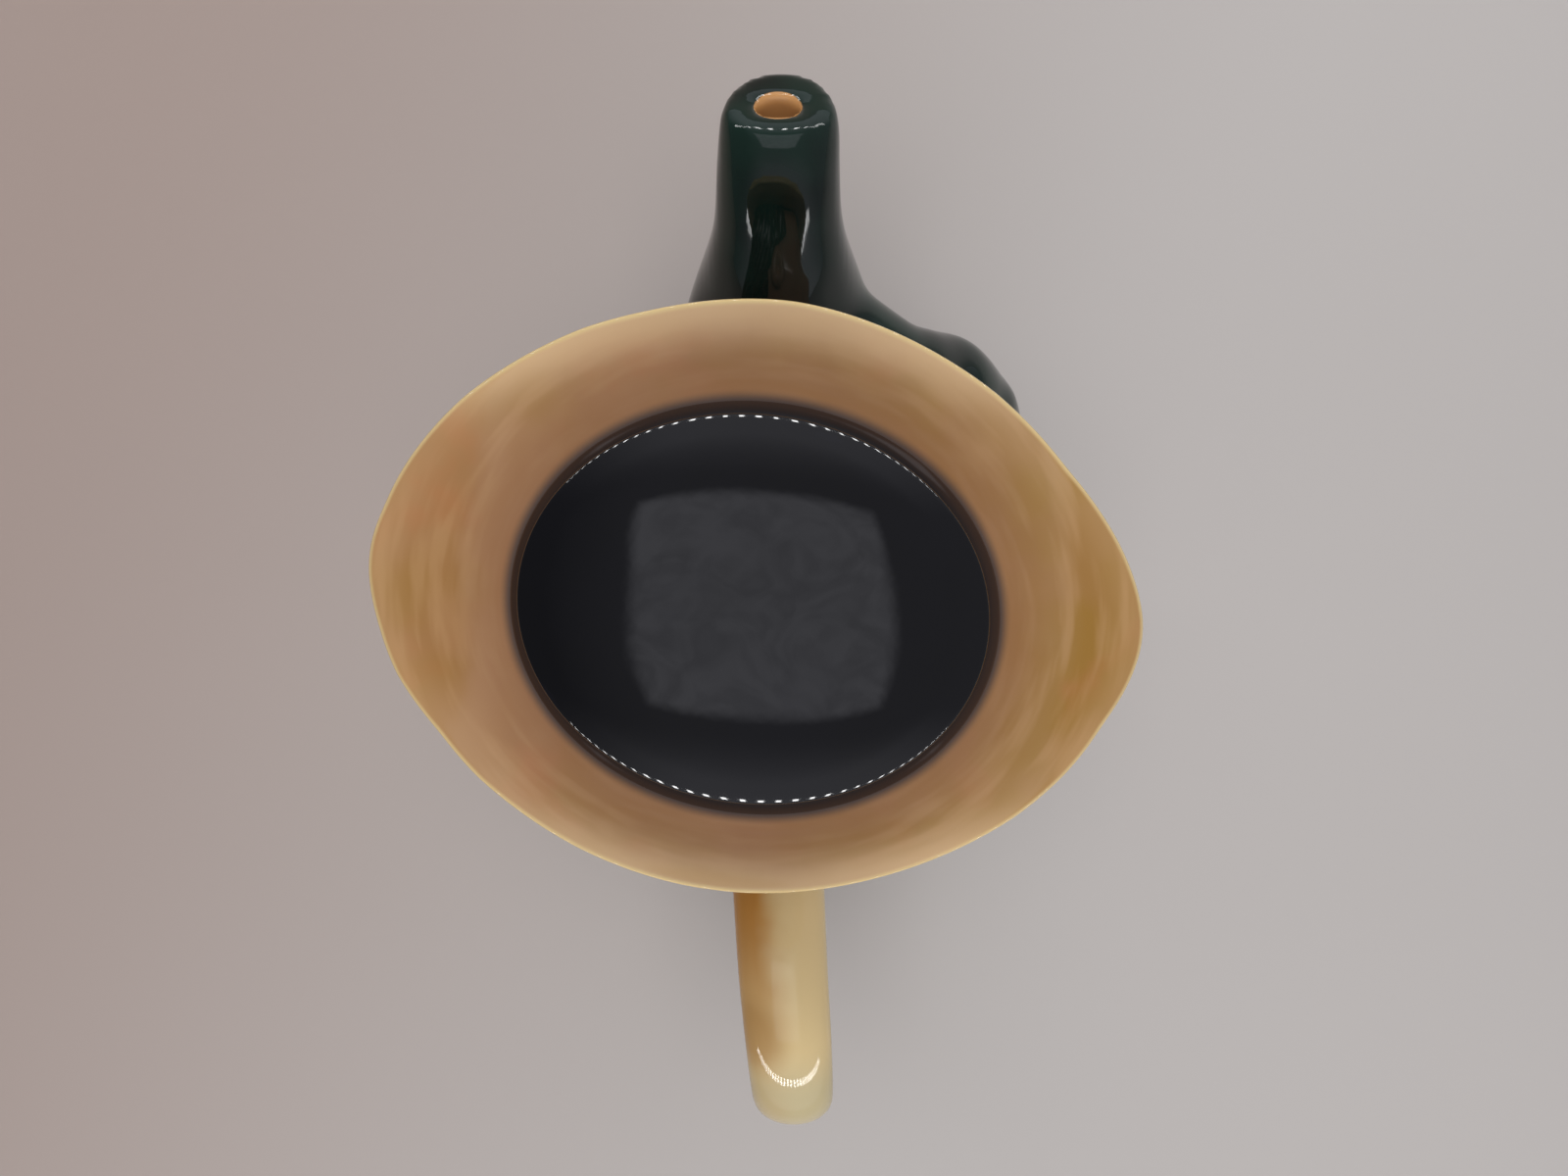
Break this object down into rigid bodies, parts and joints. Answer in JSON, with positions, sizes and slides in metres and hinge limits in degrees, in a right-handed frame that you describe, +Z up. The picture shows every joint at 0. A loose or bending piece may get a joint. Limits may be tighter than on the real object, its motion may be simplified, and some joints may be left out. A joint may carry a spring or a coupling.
{
  "type": "figural teapot",
  "caption": "Glazed earthenware teapot shaped as a stout gentleman seen to the waist; his wide-brimmed hat lifts off as the lid, a spout leaves one side and a loop handle the other.",
  "frame": {"origin": "middle of the foot ring, on the table that the pot stands on", "axes": "+Z up; the face looks along -Y; the spout points along +X, to the figure's left, and the handle along -X"},
  "size_m": [0.2172, 0.1359, 0.1681],
  "materials": {
    "bottle_green_glaze": "glossy",
    "honey_glaze": "glossy",
    "ochre_glaze": "glossy",
    "black_glaze": "glossy",
    "flesh_glaze": "glossy",
    "brown_glaze": "glossy",
    "cream_glaze": "glossy",
    "bare_cream_clay": "matt"
  },
  "bodies": {
    "pot": {"coat_body": "bottle_green_glaze", "spout": "bottle_green_glaze", "handle": "honey_glaze", "left_sleeve": "bottle_green_glaze", "right_sleeve": "bottle_green_glaze", "left_cuff": "bottle_green_glaze", "right_cuff": "bottle_green_glaze", "left_hand": "flesh_glaze", "right_hand": "flesh_glaze", "waistcoat": "ochre_glaze", "left_lapel": "bottle_green_glaze", "right_lapel": "bottle_green_glaze", "coat_collar": "bottle_green_glaze", "neckerchief": "cream_glaze", "neckerchief_knot": "cream_glaze", "head": "flesh_glaze", "hair": "brown_glaze", "waistcoat_button_1": "brown_glaze", "waistcoat_button_2": "brown_glaze", "waistcoat_button_3": "brown_glaze"},
    "lid": {"hat_brim": "honey_glaze", "hat_crown": "black_glaze", "lid_flange": "bare_cream_clay"}
  },
  "joints": [
    {"name": "lid_lift", "type": "slide", "parent": "pot", "child": "lid", "axis": [0, 0, 1], "range_m": [0, 0.06]}
  ]
}
